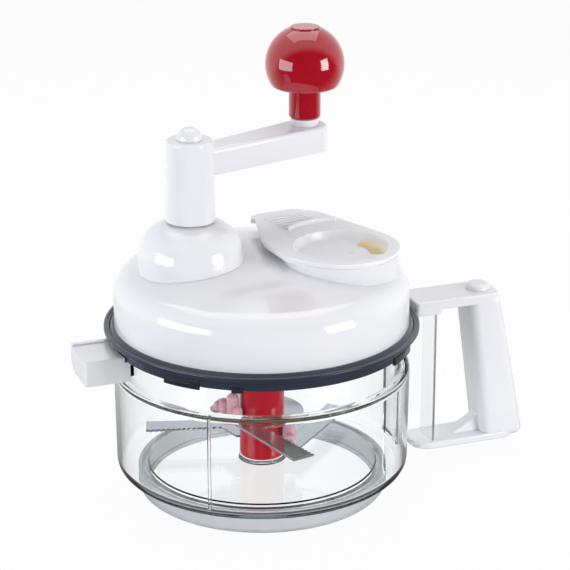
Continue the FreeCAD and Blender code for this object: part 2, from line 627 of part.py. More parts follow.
def make_crank_arm():
    """Crank: hollow post on the gearbox and a level arm, ribbed underneath, that carries the knob."""
    body = new_body("crank_arm")
    tube = "shaft_radius + post_bore_wall"
    hollow_top = "post_bottom + post_bore_depth"
    hollow = "post_foot_radius - post_bore_wall"
    arm_height = "arm_top - arm_bottom"
    far_end = "crank_radius + arm_end_reach"
    arm = raised_sketch(body, "arm_outline", "arm_bottom")
    outline(arm, [("0", "-arm_root_half"), (far_end, "-arm_end_half", "arm_end_round"),
                  (far_end, "arm_end_half", "arm_end_round"), ("0", "arm_root_half")])
    raise_shape(body, arm, "arm", arm_height)
    round_edges(body, "arm_edge_rounds", "arm_edge_round", arm_rim_test(body))
    turn_profile(body, "post", [
        ("0", "post_bottom"), ("post_foot_radius", "post_bottom"),
        ("post_top_radius", "post_top", "post_edge_round"), ("0", "post_top")])
    groove_sketch = new_sketch(body, "post_hollow_outline")
    outline(groove_sketch, tube_corners(tube, hollow, "post_bottom", hollow_top))
    cut_round(body, groove_sketch, "post_hollow")
    bore = raised_sketch(body, "shaft_bore_outline", "post_bottom")
    circle_in(bore, "shaft_radius")
    cut_shape(body, bore, "shaft_bore", "shaft_top - post_bottom", upward=True)
    boss = raised_sketch(body, "knob_boss_outline", "arm_top")
    circle_in(boss, "knob_boss_radius", "crank_radius")
    raise_shape(body, boss, "knob_boss", "knob_boss_height")
    pin_bore = raised_sketch(body, "pin_bore_outline", "arm_bottom + arm_wall")
    circle_in(pin_bore, "knob_pin_radius", "crank_radius")
    cut_shape(body, pin_bore, "pin_bore", arm_height + " + knob_boss_height", upward=True)
    hollow_under_arm(body, arm_height)
    return place(body, across=CRANK_X, along=CRANK_Y, turn="crank_angle")


def arm_rim_test(body):
    """A test for the arm's upper edges, all but the one inside the post."""
    at_top = top_edge_test(body)
    return lambda edge: at_top(edge) and edge.CenterOfMass.x > size("post_foot_radius")


def hollow_under_arm(body, arm_height):
    """Two pockets from below, with a rib between them, so that the arm's walls are even."""
    first = "post_top_radius + arm_wall"
    last = "crank_radius - arm_end_reach"
    middle = "(post_top_radius + arm_wall + crank_radius - arm_end_reach) / 2"
    halves = ((first, middle + " - arm_rib / 2"), (middle + " + arm_rib / 2", last))
    for number, (near, far) in enumerate(halves, start=1):
        pocket = raised_sketch(body, "arm_hollow_outline_%d" % number, "arm_bottom")
        rectangle(pocket, near, far, "-arm_root_half + arm_wall / 2", "arm_root_half - arm_wall / 2")
        cut_shape(body, pocket, "arm_hollow_%d" % number, arm_height + " - arm_wall", upward=True)


def make_knob():
    """Ball knob, flat on top and underneath, with a collar, bored for its pin and the pin's head."""
    body = new_body("knob")
    ball = body.newObject("PartDesign::AdditiveSphere", "ball")
    bind(ball, Radius="knob_radius", Angle1="knob_base_angle", Angle2="knob_flat_angle",
         Placement__Base__z="knob_centre_height")
    round_edges(body, "base_round", "knob_base_round", low_edge_test(body))
    collar_foot = "arm_top + knob_boss_height + knob_gap"
    turn_profile(body, "collar", [
        ("0", collar_foot), ("knob_collar_radius", collar_foot, "knob_collar_round"),
        ("knob_collar_radius", "knob_centre_height"), ("0", "knob_centre_height")])
    bore = raised_sketch(body, "bore_outline", "arm_top")
    circle_in(bore, "knob_pin_radius + running_gap")
    cut_shape(body, bore, "bore", "knob_pin_top - arm_top", upward=True)
    counterbore = raised_sketch(body, "counterbore_outline", "knob_pin_top - knob_head_height - knob_gap")
    circle_in(counterbore, "knob_head_radius + knob_gap")
    cut_shape(body, counterbore, "counterbore", "knob_radius", upward=True)
    return place(body, across=KNOB_X, along=KNOB_Y)


def low_edge_test(body):
    """A test for the round edge at the very bottom of a body."""
    doc.recompute()
    bottom = body.Tip.Shape.BoundBox.ZMin
    return lambda edge: abs(edge.BoundBox.ZMax - bottom) < CLOSE


def make_knob_pin():
    """Steel pin that stands in the crank arm and carries the knob under its head."""
    body = new_body("knob_pin")
    head_bottom = "knob_pin_top - knob_head_height"
    turn_profile(body, "pin", [
        ("0", "arm_bottom + arm_wall"), ("knob_pin_radius", "arm_bottom + arm_wall"),
        ("knob_pin_radius", head_bottom), ("knob_head_radius", head_bottom),
        ("knob_head_radius", "knob_pin_top"), ("0", "knob_pin_top")])
    return place(body, across=KNOB_X, along=KNOB_Y)


def make_knob_cap():
    """Disc that closes the top of the knob."""
    body = new_body("knob_cap")
    stem = "knob_head_radius + knob_gap"
    flat = "knob_centre_height + knob_radius * sin(knob_flat_angle)"
    disc = raised_sketch(body, "disc_outline", flat)
    circle_in(disc, "knob_cap_radius")
    raise_shape(body, disc, "disc", "knob_cap_height")
    plug = raised_sketch(body, "plug_outline", flat)
    circle_in(plug, stem)
    raise_shape(body, plug, "plug", "knob_plug_depth", downward=True)
    round_edges(body, "disc_round", "knob_cap_height / 2", top_edge_test(body))
    return place(body, across=KNOB_X, along=KNOB_Y)


def top_edge_test(body):
    """A test for the edges at the very top of a body."""
    doc.recompute()
    top = body.Tip.Shape.BoundBox.ZMax
    return lambda edge: abs(edge.BoundBox.ZMin - top) < CLOSE and abs(edge.BoundBox.ZMax - top) < CLOSE


def make_blade_post():
    """Red post: wide above the top blade, a slimmer core below it, and a pin socket at the foot."""
    body = new_body("blade_post")
    shoulder = "blade_high_height + blade_thickness"
    socket = "pin_radius + pin_socket_gap"
    socket_top = "bowl_floor_height + pin_boss_height + pin_length + running_gap"
    turn_profile(body, "post", [
        (socket, "blade_post_bottom"), ("blade_core_radius", "blade_post_bottom"),
        ("blade_core_radius", shoulder), ("blade_post_radius", shoulder),
        ("blade_post_radius", "blade_post_top"), ("spindle_radius", "blade_post_top"),
        ("spindle_radius", "spindle_bottom"), ("0", "spindle_bottom"), ("0", socket_top),
        (socket, socket_top)])
    return body


def make_spacer(label, bottom, top):
    """Red sleeve on the post's core, under or between blades."""
    body = new_body(label)
    turn_profile(body, "sleeve", tube_corners("blade_core_radius + blade_core_gap", "blade_post_radius",
                                              bottom, top))
    return body


def make_blade(label, height, angle, hub_radius):
    """Steel blade: a hub on the post and a strip, swept back from it, with teeth along its cutting edge."""
    body = new_body(label)
    hub = raised_sketch(body, "hub_outline", "0")
    circle_in(hub, hub_radius)
    raise_shape(body, hub, "hub", "blade_thickness")
    arm = raised_sketch(body, "arm_outline", "0")
    outline(arm, [("0", "-blade_spine"), ("blade_reach", "-blade_spine")] + tooth_corners()
            + [("blade_gusset_reach", "0"), ("0", "0")])
    raise_shape(body, arm, "arm", "blade_thickness")
    return place(body, height=height, turn=angle)


def add_lobes(body):
    """Round lobes along the rear edge of a blade's hub."""
    for number in range(int(size("lobe_count"))):
        turn = "lobe_start + lobe_pitch * %d" % number
        lobe = raised_sketch(body, "lobe_outline_%d" % number, "0", turn=turn)
        circle_in(lobe, "lobe_radius", "lobe_reach")
        raise_shape(body, lobe, "lobe_%d" % number, "blade_thickness")
    return body


def bore_blade(body):
    """The hole that lets a blade slide on the post's core."""
    bore = raised_sketch(body, "bore_outline", "0")
    circle_in(bore, "blade_core_radius + blade_core_gap")
    cut_shape(body, bore, "bore", "blade_thickness", upward=True)
    return body


def tooth_corners():
    """Saw teeth from the tip of the cutting edge to its root."""
    count = int(size("tooth_count"))
    corners = []
    for tooth in range(count):
        corners.append(edge_point(tooth / count, "0"))
        corners.append(edge_point((tooth + TOOTH_LAND) / count, "tooth_depth"))
    corners.append(edge_point(1.0, "0"))
    return corners


def edge_point(share, depth):
    """A point on the cutting edge, a share of the way from tip to root, set back by a depth."""
    along = "blade_reach - (blade_reach - blade_root_reach) * %.4f" % share
    across = "-blade_tip_edge - (blade_root_edge - blade_tip_edge) * %.4f - %s" % (share, depth)
    return (along, across)


def make_dome_cap(label, radius, bottom, height):
    """A small domed cap with a flat land on top."""
    body = new_body(label)
    top = bottom + " + " + height
    turn_profile(body, "dome", [
        ("0", bottom), (radius, bottom), (radius, top, height + " - cap_land"), ("0", top)])
    return body


def make_filler_cup():
    """Cup that closes the filler chute: basin with an oil slot, flange, thumb ridge and a ribbed tab."""
    body = new_body("filler_cup")
    flange_top = "cup_seat_gap + cup_flange_thickness"
    floor_top = flange_top + " - cup_depth"
    floor_bottom = floor_top + " - cup_wall"
    turn_profile(body, "blank", [
        ("0", floor_bottom), ("cup_spigot", floor_bottom), ("cup_spigot", "cup_seat_gap"),
        ("cup_flange_radius", "cup_seat_gap"), ("cup_flange_radius", flange_top), ("0", flange_top)])
    turn_profile(body, "spigot_wall", tube_corners("cup_spigot - cup_wall", "cup_spigot",
                                                   "cup_seat_gap - cup_spigot_depth", "cup_seat_gap"))
    tab = raised_sketch(body, "tab_outline", "cup_seat_gap", turn="tab_angle")
    outline(tab, [("0", "-cup_flange_radius"), ("tab_reach", "-tab_half_width", "tab_round"),
                  ("tab_reach", "tab_half_width", "tab_round"), ("0", "cup_flange_radius")])
    raise_shape(body, tab, "tab", "cup_flange_thickness")
    lip = raised_sketch(body, "tab_lip_outline", "cup_seat_gap - tab_lip_depth", turn="tab_angle")
    rectangle(lip, "tab_reach - tab_lip_width", "tab_reach", "-tab_half_width + tab_round",
              "tab_half_width - tab_round")
    raise_shape(body, lip, "tab_lip", "tab_lip_depth + cup_flange_thickness")
    ridge = turn_profile(body, "thumb_ridge", tube_corners("ridge_inner", "ridge_outer", "cup_seat_gap",
                                                           flange_top + " + ridge_height"), "ridge_span")
    turn_sketch(ridge.Profile[0], "ridge_angle")
    basin_sketch = new_sketch(body, "basin_profile")
    above = flange_top + " + cup_wall"
    outline(basin_sketch, [("0", floor_top), ("cup_basin_radius", floor_top, "cup_basin_round"),
                           ("cup_basin_radius", above), ("0", above)])
    cut_round(body, basin_sketch, "basin")
    ribs = raised_sketch(body, "tab_rib_outlines", flange_top, turn="tab_angle")
    for number in range(int(size("tab_rib_count"))):
        near = "tab_rib_start + tab_rib_pitch * %d" % number
        rectangle(ribs, near, near + " + tab_rib_width", "-tab_rib_length / 2", "tab_rib_length / 2")
    raise_shape(body, ribs, "tab_ribs", "tab_rib_height")
    cut_slot(body, floor_bottom, floor_top)
    return place(body, across="chute_offset * cos(chute_angle)", height="chute_top",
                 along="chute_offset * sin(chute_angle)")


def cut_slot(body, floor_bottom, floor_top):
    """The curved oil slot in the basin's floor, with a round hole at each end of it."""
    bottom = floor_bottom + " - cup_wall"
    sketch = new_sketch(body, "slot_profile")
    outline(sketch, tube_corners("slot_radius - slot_width / 2", "slot_radius + slot_width / 2",
                                 bottom, floor_top + " + cup_wall"))
    turn_sketch(sketch, "slot_angle")
    cut_round(body, sketch, "slot", "slot_span")
    for name, side in (("near", "-"), ("far", "+")):
        turn = "slot_angle %s slot_span / 2" % side
        end = raised_sketch(body, "slot_%s_end_outline" % name, bottom, turn=turn)
        circle_in(end, "slot_width / 2", "slot_radius")
        cut_shape(body, end, "slot_%s_end" % name, "3 * cup_wall", upward=True)


def make_handle():
    """Side handle: raked grip between a top arm with a socket for the column and a foot plate under it."""
    body = new_body("handle")
    side = new_sketch(body, "side_outline")
    outline(side, [
        ("handle_plate_end", "handle_bottom"), ("grip_bottom_outer", "handle_bottom"),
        ("grip_top_outer", "handle_top"), ("handle_inner_end", "handle_top"),
        ("handle_inner_end", "handle_arm_underside"),
        ("grip_top_inner", "handle_arm_underside", "window_top_round"),
        ("grip_bottom_inner", "handle_plate_top", "window_bottom_round"),
        ("handle_plate_end", "handle_plate_top")])
    raise_shape(body, side, "side", "handle_width", symmetric=True)
    socket = raised_sketch(body, "socket_outline", "socket_bottom")
    rectangle(socket, "handle_inner_end", "socket_reach", "-handle_width / 2", "handle_width / 2")
    raise_shape(body, socket, "socket", "handle_top - socket_bottom - socket_gap")
    seat = raised_sketch(body, "socket_seat_outline", "socket_bottom")
    rectangle(seat, "handle_inner_end - socket_gap", "column_reach + socket_gap",
              "-column_width / 2 - socket_gap", "column_width / 2 + socket_gap")
    cut_shape(body, seat, "socket_seat", "column_top + socket_gap - socket_bottom", upward=True)
    half_width = size("handle_width") / 2
    outer_edge = size("grip_top_outer") - CLOSE

    def is_grip_edge(edge):
        box = edge.BoundBox
        beside = abs(abs(edge.CenterOfMass.y) - half_width) < CLOSE
        return beside and box.XMin > outer_edge and box.ZLength > size("handle_top") / 2

    def is_plate_corner(edge):
        box = edge.BoundBox
        upright = box.XLength < CLOSE and box.YLength < CLOSE
        return upright and abs(box.XMin - size("handle_plate_end")) < CLOSE

    round_edges(body, "grip_rounds", "grip_edge_round", is_grip_edge)
    round_edges(body, "plate_corners", "plate_end_round", is_plate_corner)
    return body


def make_side_grip():
    """Small grip block opposite the handle, pushed over the bowl's lug."""
    body = new_body("side_grip")
    side = new_sketch(body, "side_outline")
    outline(side, [("-side_inner", "side_bottom"), ("-side_inner", "side_top"),
                   ("-side_reach", "side_top", "side_round"),
                   ("-side_reach", "side_bottom", "side_bulge_radius")])
    raise_shape(body, side, "block", "side_width", symmetric=True)
    seat = raised_sketch(body, "seat_outline", "lug_bottom - side_gap")
    rectangle(seat, "-lug_reach - side_gap", "-side_inner + side_gap", "-lug_width / 2 - side_gap",
              "lug_width / 2 + side_gap")
    cut_shape(body, seat, "seat", "lug_top - lug_bottom + 2 * side_gap", upward=True)
    return body


def make_everything():
    """Builds each sub-part; the list is in the order bowl, lid, crank, knob, blades."""
    shoulder_low = "blade_low_height + blade_thickness"
    shoulder_mid = "blade_mid_height + blade_thickness"
    handle_cap = make_dome_cap("handle_cap", "handle_cap_radius", "handle_top", "handle_cap_height")
    crank_cap = make_dome_cap("crank_cap", "cap_radius", "post_top", "cap_height")
    high_blade = make_blade("blade_high", "blade_high_height", "blade_high_angle", "blade_hub_radius")
    return [
        make_bowl(), make_foot_ring(), make_handle(), place(handle_cap, across="handle_cap_place"),
        make_side_grip(), make_lid_ring(), make_lid_shell(), make_gearbox_dome(), make_gear_plate(),
        make_plate_screws(), make_crank_bush(), make_filler_cup(), make_crank_shaft(),
        make_drive_gear(), make_crank_arm(), place(crank_cap, across=CRANK_X, along=CRANK_Y),
        make_knob_pin(), make_knob(), make_knob_cap(), make_spindle(), make_pinion(), make_blade_post(),
        make_spacer("blade_spacer_foot", "blade_post_bottom", "blade_low_height"),
        make_spacer("blade_spacer_low", shoulder_low, "blade_mid_height"),
        make_spacer("blade_spacer_mid", shoulder_mid, "blade_high_height"),
        bore_blade(make_blade("blade_low", "blade_low_height", "blade_low_angle", "blade_post_radius")),
        bore_blade(make_blade("blade_mid", "blade_mid_height", "blade_mid_angle", "blade_post_radius")),
        bore_blade(add_lobes(high_blade)),
    ]


def stop_on_faults(items):
    """Stops the build if any object failed or any sub-part is empty or invalid."""
    doc.recompute()
    failed = [item.Name for item in doc.Objects if {"Invalid", "Error"} & set(item.State)]
    if failed:
        raise RuntimeError("failed objects: " + ", ".join(failed))
    for item in items:
        if item.Shape.isNull() or not item.Shape.isValid() or item.Shape.Volume <= 0:
            raise RuntimeError("bad shape: " + item.Label)


def main():
    items = make_everything()
    stop_on_faults(items)
    os.makedirs("parts", exist_ok=True)
    for item in items:
        item.Shape.exportStep("parts/%s.step" % item.Label)
        box = item.Shape.BoundBox
        print("%-18s %2d solid(s) %9.1f mm3  x %7.1f %7.1f  y %7.1f %7.1f  z %7.1f %7.1f" % (
            item.Label, len(item.Shape.Solids), item.Shape.Volume, box.XMin, box.XMax,
            box.YMin, box.YMax, box.ZMin, box.ZMax))


main()
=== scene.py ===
import math

import bpy
from mathutils import Matrix, Vector


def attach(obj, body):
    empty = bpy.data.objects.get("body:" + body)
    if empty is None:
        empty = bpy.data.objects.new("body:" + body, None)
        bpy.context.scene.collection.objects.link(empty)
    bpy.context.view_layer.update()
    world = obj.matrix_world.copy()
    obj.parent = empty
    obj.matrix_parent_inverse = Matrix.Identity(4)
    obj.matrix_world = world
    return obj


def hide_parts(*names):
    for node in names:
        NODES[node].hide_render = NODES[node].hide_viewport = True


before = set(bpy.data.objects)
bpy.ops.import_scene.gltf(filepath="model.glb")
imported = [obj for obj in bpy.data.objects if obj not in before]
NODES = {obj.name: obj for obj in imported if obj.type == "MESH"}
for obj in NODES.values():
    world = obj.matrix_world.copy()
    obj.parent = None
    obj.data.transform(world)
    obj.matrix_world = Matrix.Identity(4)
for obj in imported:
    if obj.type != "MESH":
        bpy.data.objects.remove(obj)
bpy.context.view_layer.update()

MM = 0.001
# Points nearer than this are one, in turned pieces and in pulled ones.
TURNED_MERGE = 1e-6
PULLED_MERGE = 1e-7

# Where the photographer stood, and what was looked at.
EYE = Vector((-0.4157, -1.1422, 0.5610))
LOOK = Vector((0.3313, 0.8802, -0.3398))
SENSOR = 36.0
LENS = 143.9

# The studio: how much the floor glows by itself, and the side that the white paper stands on.
FLOOR_GLOW = 0.94
ROOM_DARK = 0.05
GLASS_DARK = 0.35
GLASS_GLOOM = 0.14
THROUGH_GLASS = 1.14
ROOM_LIGHT = 0.45
BACKDROP_SIDE = (0.18, 0.80, 0.57)

# Levels of the bowl in mm, and where its rib stands.
FOOT_UNDER = 1.2
BOWL_UNDER = 13.0
BOWL_FLOOR = 16.8
BOWL_STEP = 75.0
BOWL_RIM = 97.2
PIN_TOP = 58.0
RIB_TURN = -130.5

# The filler cup in mm and degrees: its centre, its thumb tab and its levels.
CUP_CENTRE = (40.446, -19.727)
TAB_TURN = 101.0
TAB_RIBS = 6
TAB_RIB_STEP = 4.1
TAB_RIB_BEND = 60.0
CUP_UNDER = 135.7
CUP_INSIDE = 140.3
BASIN_FLOOR = 142.2
CUP_TOP = 147.1

# The handle in mm: half its width, its foot plate and its top arm.
HANDLE_HALF = 12.4
PLATE_UNDER, PLATE_TOP = 9.1, 13.5
ARM_UNDER, ARM_TOP = 97.0, 103.0


def new_material(name):
    """A fresh node material with its Principled shader and its output."""
    material = bpy.data.materials.new(name)
    material.use_nodes = True
    tree = material.node_tree
    tree.nodes.clear()
    output = tree.nodes.new("ShaderNodeOutputMaterial")
    shader = tree.nodes.new("ShaderNodeBsdfPrincipled")
    tree.links.new(shader.outputs["BSDF"], output.inputs["Surface"])
    return material, tree, shader, output


def object_space(tree, stretch=(1.0, 1.0, 1.0)):
    """The piece's own coordinates, stretched for a pattern."""
    where = tree.nodes.new("ShaderNodeTexCoord")
    mapping = tree.nodes.new("ShaderNodeMapping")
    mapping.inputs["Scale"].default_value = stretch
    tree.links.new(where.outputs["Object"], mapping.inputs["Vector"])
    return mapping.outputs["Vector"]


def noise(tree, vector, scale, detail=3.0, roughness=0.5):
    """Cloudy variation of the given fineness."""
    node = tree.nodes.new("ShaderNodeTexNoise")
    node.inputs["Scale"].default_value = scale
    node.inputs["Detail"].default_value = detail
    node.inputs["Roughness"].default_value = roughness
    tree.links.new(vector, node.inputs["Vector"])
    return node.outputs["Fac"]


def between(tree, factor, low, high):
    """Turns a 0 to 1 pattern into a number from low to high."""
    node = tree.nodes.new("ShaderNodeMapRange")
    node.inputs["From Min"].default_value = 0.3
    node.inputs["From Max"].default_value = 0.7
    node.inputs["To Min"].default_value = low
    node.inputs["To Max"].default_value = high
    tree.links.new(factor, node.inputs["Value"])
    return node.outputs["Result"]


def tints(tree, factor, first, second):
    """Two colours blended by a pattern."""
    ramp = tree.nodes.new("ShaderNodeValToRGB")
    ramp.color_ramp.elements[0].position = 0.3
    ramp.color_ramp.elements[0].color = (*first, 1.0)
    ramp.color_ramp.elements[1].position = 0.7
    ramp.color_ramp.elements[1].color = (*second, 1.0)
    tree.links.new(factor, ramp.inputs["Fac"])
    return ramp.outputs["Color"]


def surface_bump(tree, shader, height, strength, distance, edge=0.0):
    """Presses a pattern into the surface, and softens its edges by a radius."""
    bump = tree.nodes.new("ShaderNodeBump")
    bump.inputs["Strength"].default_value = strength
    bump.inputs["Distance"].default_value = distance
    tree.links.new(height, bump.inputs["Height"])
    if edge:
        soft = tree.nodes.new("ShaderNodeBevel")
        soft.samples = 6
        soft.inputs["Radius"].default_value = edge
        tree.links.new(soft.outputs["Normal"], bump.inputs["Normal"])
    tree.links.new(bump.outputs["Normal"], shader.inputs["Normal"])


def combined(tree, operation, first, second):
    """Two numbers put together."""
    node = tree.nodes.new("ShaderNodeMath")
    node.operation = operation
    for place, value in enumerate((first, second)):
        if isinstance(value, float):
            node.inputs[place].default_value = value
        else:
            tree.links.new(value, node.inputs[place])
    return node.outputs[0]


def seen_rays(tree):
    """1 for rays that look at something: straight, by a mirror or through glass."""
    path = tree.nodes.new("ShaderNodeLightPath")
    indirect = combined(tree, "MAXIMUM", path.outputs["Is Glossy Ray"],
                        path.outputs["Is Transmission Ray"])
    return combined(tree, "MAXIMUM", path.outputs["Is Camera Ray"], indirect)


def mirror_rays(tree):
    """1 for rays that have been mirrored on their way, and 0 for straight ones and those only through glass."""
    path = tree.nodes.new("ShaderNodeLightPath")
    mirrored = combined(tree, "MINIMUM", path.outputs["Glossy Depth"], 1.0)
    clear = combined(tree, "SUBTRACT", 1.0, path.outputs["Is Diffuse Ray"])
    return combined(tree, "MULTIPLY", mirrored, clear)


def toward(tree, coordinates, side, low, high, dim):
    """A share from dim to 1 that grows toward one side."""
    facing = tree.nodes.new("ShaderNodeVectorMath")
    facing.operation = "DOT_PRODUCT"
    facing.inputs[1].default_value = side
    tree.links.new(coordinates, facing.inputs[0])
    spread = tree.nodes.new("ShaderNodeMapRange")
    spread.inputs["From Min"].default_value = low
    spread.inputs["From Max"].default_value = high
    spread.inputs["To Min"].default_value = dim
    tree.links.new(facing.outputs["Value"], spread.inputs["Value"])
    return spread.outputs["Result"]


def white_gloss():
    """Polished white moulding: faint flow marks in the colour, slight orange peel."""
    material, tree, shader, _ = new_material("white_gloss")
    space = object_space(tree)
    flow = noise(tree, space, 14.0, 4.0)
    tree.links.new(tints(tree, flow, (0.80, 0.80, 0.835), (0.835, 0.835, 0.86)), shader.inputs["Base Color"])
    handling = noise(tree, space, 55.0, 5.0, 0.6)
    tree.links.new(between(tree, handling, 0.10, 0.17), shader.inputs["Roughness"])
    peel = noise(tree, space, 420.0, 2.0)
    surface_bump(tree, shader, peel, 0.05, 0.0004, 0.0009)
    shader.inputs["IOR"].default_value = 1.5
    shader.inputs["Coat Weight"].default_value = 0.35
    shader.inputs["Coat Roughness"].default_value = 0.04
    return material


def white_satin():
    """The cup's softer white moulding."""
    material, tree, shader, _ = new_material("white_satin")
    space = object_space(tree)
    flow = noise(tree, space, 9.0, 1.0)
    white = tints(tree, flow, (0.850, 0.850, 0.861), (0.856, 0.856, 0.866))
    tree.links.new(white, shader.inputs["Base Color"])
    handling = noise(tree, space, 30.0, 1.0)
    tree.links.new(between(tree, handling, 0.27, 0.32), shader.inputs["Roughness"])
    surface_bump(tree, shader, noise(tree, space, 1500.0, 0.0), 0.01, 0.0001)
    return material


def ivory_moulding():
    """Unpolished ivory plastic of the gears and the gear plate."""
    material, tree, shader, _ = new_material("ivory_moulding")
    space = object_space(tree)
    flow = noise(tree, space, 25.0, 5.0)
    tree.links.new(tints(tree, flow, (0.60, 0.53, 0.36), (0.68, 0.61, 0.44)), shader.inputs["Base Color"])
    tree.links.new(between(tree, flow, 0.38, 0.52), shader.inputs["Roughness"])
    surface_bump(tree, shader, noise(tree, space, 800.0, 3.0), 0.12, 0.0004)
    return material


def deep_red(name="deep_red", shine=0.5, coat=0.6):
    """Deep glossy red of the knob and the blade post."""
    material, tree, shader, _ = new_material(name)
    space = object_space(tree)
    flow = noise(tree, space, 20.0, 4.0)
    tree.links.new(tints(tree, flow, (0.36, 0.003, 0.012), (0.42, 0.005, 0.018)), shader.inputs["Base Color"])
    handling = noise(tree, space, 80.0, 5.0, 0.6)
    tree.links.new(between(tree, handling, 0.06, 0.12), shader.inputs["Roughness"])
    surface_bump(tree, shader, noise(tree, space, 350.0, 2.0), 0.03, 0.0004, 0.0006)
    shader.inputs["IOR"].default_value = 1.52
    shader.inputs["Specular IOR Level"].default_value = shine
    shader.inputs["Coat Weight"].default_value = coat
    shader.inputs["Coat Roughness"].default_value = 0.03
    return material


def dark_ring(name="dark_ring", deep=(0.026, 0.032, 0.052), pale=(0.036, 0.043, 0.068),
              smooth=0.12, dull=0.22):
    """Anthracite moulding of the lid ring, bluish under the lamps."""
    material, tree, shader, _ = new_material(name)
    space = object_space(tree)
    flow = noise(tree, space, 30.0, 4.0)
    tree.links.new(tints(tree, flow, deep, pale), shader.inputs["Base Color"])
    tree.links.new(between(tree, noise(tree, space, 90.0, 5.0), smooth, dull), shader.inputs["Roughness"])
    surface_bump(tree, shader, noise(tree, space, 600.0, 3.0), 0.04, 0.0003, 0.0004)
    return material


def clear_moulding():
    """Clear plastic: cool and darker where it is thick, faint haze, lamps shine through it."""
    tint = (0.985, 0.995, 0.995)
    material, tree, shader, output = new_material("clear_bowl")
    space = object_space(tree)
    shader.inputs["Base Color"].default_value = (*tint, 1.0)
    shader.inputs["Transmission Weight"].default_value = 1.0
    shader.inputs["IOR"].default_value = 1.45
    haze = between(tree, noise(tree, space, 40.0, 4.0), 0.0, 0.008)
    tree.links.new(haze, shader.inputs["Roughness"])
    surface_bump(tree, shader, noise(tree, space, 26.0, 2.0), 0.008, 0.0003)
    through = tree.nodes.new("ShaderNodeBsdfTransparent")
    through.inputs["Color"].default_value = (*[0.5 + 0.5 * part for part in tint], 1.0)
    path = tree.nodes.new("ShaderNodeLightPath")
    mix = tree.nodes.new("ShaderNodeMixShader")
    tree.links.new(path.outputs["Is Shadow Ray"], mix.inputs["Fac"])
    tree.links.new(shader.outputs["BSDF"], mix.inputs[1])
    tree.links.new(through.outputs["BSDF"], mix.inputs[2])
    tree.links.new(mix.outputs["Shader"], output.inputs["Surface"])
    body = tree.nodes.new("ShaderNodeVolumeAbsorption")
    body.inputs["Color"].default_value = (0.70, 0.79, 0.80, 1.0)
    body.inputs["Density"].default_value = 16.0
    tree.links.new(body.outputs["Volume"], output.inputs["Volume"])
    return material


def foot_plastic():
    """Milky grey plastic of the foot ring."""
    material, tree, shader, _ = new_material("milky_foot")
    space = object_space(tree)
    flow = noise(tree, space, 24.0, 4.0)
    tree.links.new(tints(tree, flow, (0.70, 0.72, 0.75), (0.74, 0.76, 0.79)), shader.inputs["Base Color"])
    tree.links.new(between(tree, flow, 0.16, 0.26), shader.inputs["Roughness"])
    surface_bump(tree, shader, noise(tree, space, 500.0, 2.0), 0.03, 0.0003, 0.0006)
    shader.inputs["Transmission Weight"].default_value = 0.55
    shader.inputs["IOR"].default_value = 1.4
    return material


def polished_blade():
    """Blade steel, rolled and polished nearly to a mirror."""
    material, tree, shader, _ = new_material("polished_blade")
    space = object_space(tree)
    lines = noise(tree, space, 90.0, 5.0, 0.65)
    tree.links.new(tints(tree, lines, (0.54, 0.56, 0.61), (0.60, 0.62, 0.67)), shader.inputs["Base Color"])
    tree.links.new(between(tree, lines, 0.07, 0.15), shader.inputs["Roughness"])
    shader.inputs["Metallic"].default_value = 0.85
    surface_bump(tree, shader, lines, 0.02, 0.0002)
    return material


def turned_steel():
    """Machined steel with fine tool lines."""
    material, tree, shader, _ = new_material("turned_steel")
    space = object_space(tree, (1.0, 1.0, 12.0))
    lines = noise(tree, space, 60.0, 4.0, 0.65)
    tree.links.new(tints(tree, lines, (0.50, 0.51, 0.53), (0.62, 0.63, 0.65)), shader.inputs["Base Color"])
    tree.links.new(between(tree, lines, 0.20, 0.34), shader.inputs["Roughness"])
    shader.inputs["Metallic"].default_value = 1.0
    surface_bump(tree, shader, lines, 0.10, 0.0002)
    return material


def turned_brass():
    """The bearing bush, slightly tarnished."""
    material, tree, shader, _ = new_material("turned_brass")
    space = object_space(tree, (1.0, 1.0, 14.0))
    lines = noise(tree, space, 60.0, 4.0)
    tree.links.new(tints(tree, lines, (0.50, 0.34, 0.12), (0.66, 0.48, 0.20)), shader.inputs["Base Color"])
    tree.links.new(between(tree, lines, 0.22, 0.36), shader.inputs["Roughness"])
    shader.inputs["Metallic"].default_value = 1.0
    surface_bump(tree, shader, lines, 0.1, 0.0002)
    return material


def painted_shade_and_glow_ivory():
    """The cup's thin underside, painted: a beige colour for its shade and a faint glow for light coming through
    the thin plastic.
    """
    material, tree, shader, _ = new_material("painted_shade_and_glow_ivory")
    space = object_space(tree)
    flow = noise(tree, space, 60.0, 4.0)
    # Painted shade: the beige stands in for the shade inside the white cup's spigot.
    tree.links.new(tints(tree, flow, (0.66, 0.57, 0.36), (0.72, 0.63, 0.42)), shader.inputs["Base Color"])
    tree.links.new(between(tree, flow, 0.35, 0.5), shader.inputs["Roughness"])
    # Painted glow: the emission stands in for light coming through the thin plastic; the cup is no lamp.
    shader.inputs["Emission Color"].default_value = (0.85, 0.74, 0.48, 1.0)
    shader.inputs["Emission Strength"].default_value = 0.30
    return material


def pale_red():
    """Thin red plastic that light shines through."""
    material, tree, shader, _ = new_material("pale_red")
    space = object_space(tree)
    flow = noise(tree, space, 60.0, 4.0)
    tree.links.new(tints(tree, flow, (0.78, 0.42, 0.50), (0.86, 0.52, 0.60)), shader.inputs["Base Color"])
    tree.links.new(between(tree, flow, 0.12, 0.22), shader.inputs["Roughness"])
    shader.inputs["Transmission Weight"].default_value = 0.45
    shader.inputs["IOR"].default_value = 1.3
    return material


WHITE = white_gloss()
PAINTED_SHADE_AND_GLOW = painted_shade_and_glow_ivory()
PINK = pale_red()
CUP_WHITE = white_satin()
IVORY = ivory_moulding()
RED = deep_red()
RED_INSIDE = deep_red("deep_red_inside", 0.45, 0.4)
DARK = dark_ring()
CATCH = dark_ring("ring_catch", (0.018, 0.020, 0.028), (0.028, 0.030, 0.040), 0.08, 0.14)
CLEAR = clear_moulding()
FOOT = foot_plastic()
STEEL = turned_steel()
BLADE = polished_blade()
BRASS = turned_brass()

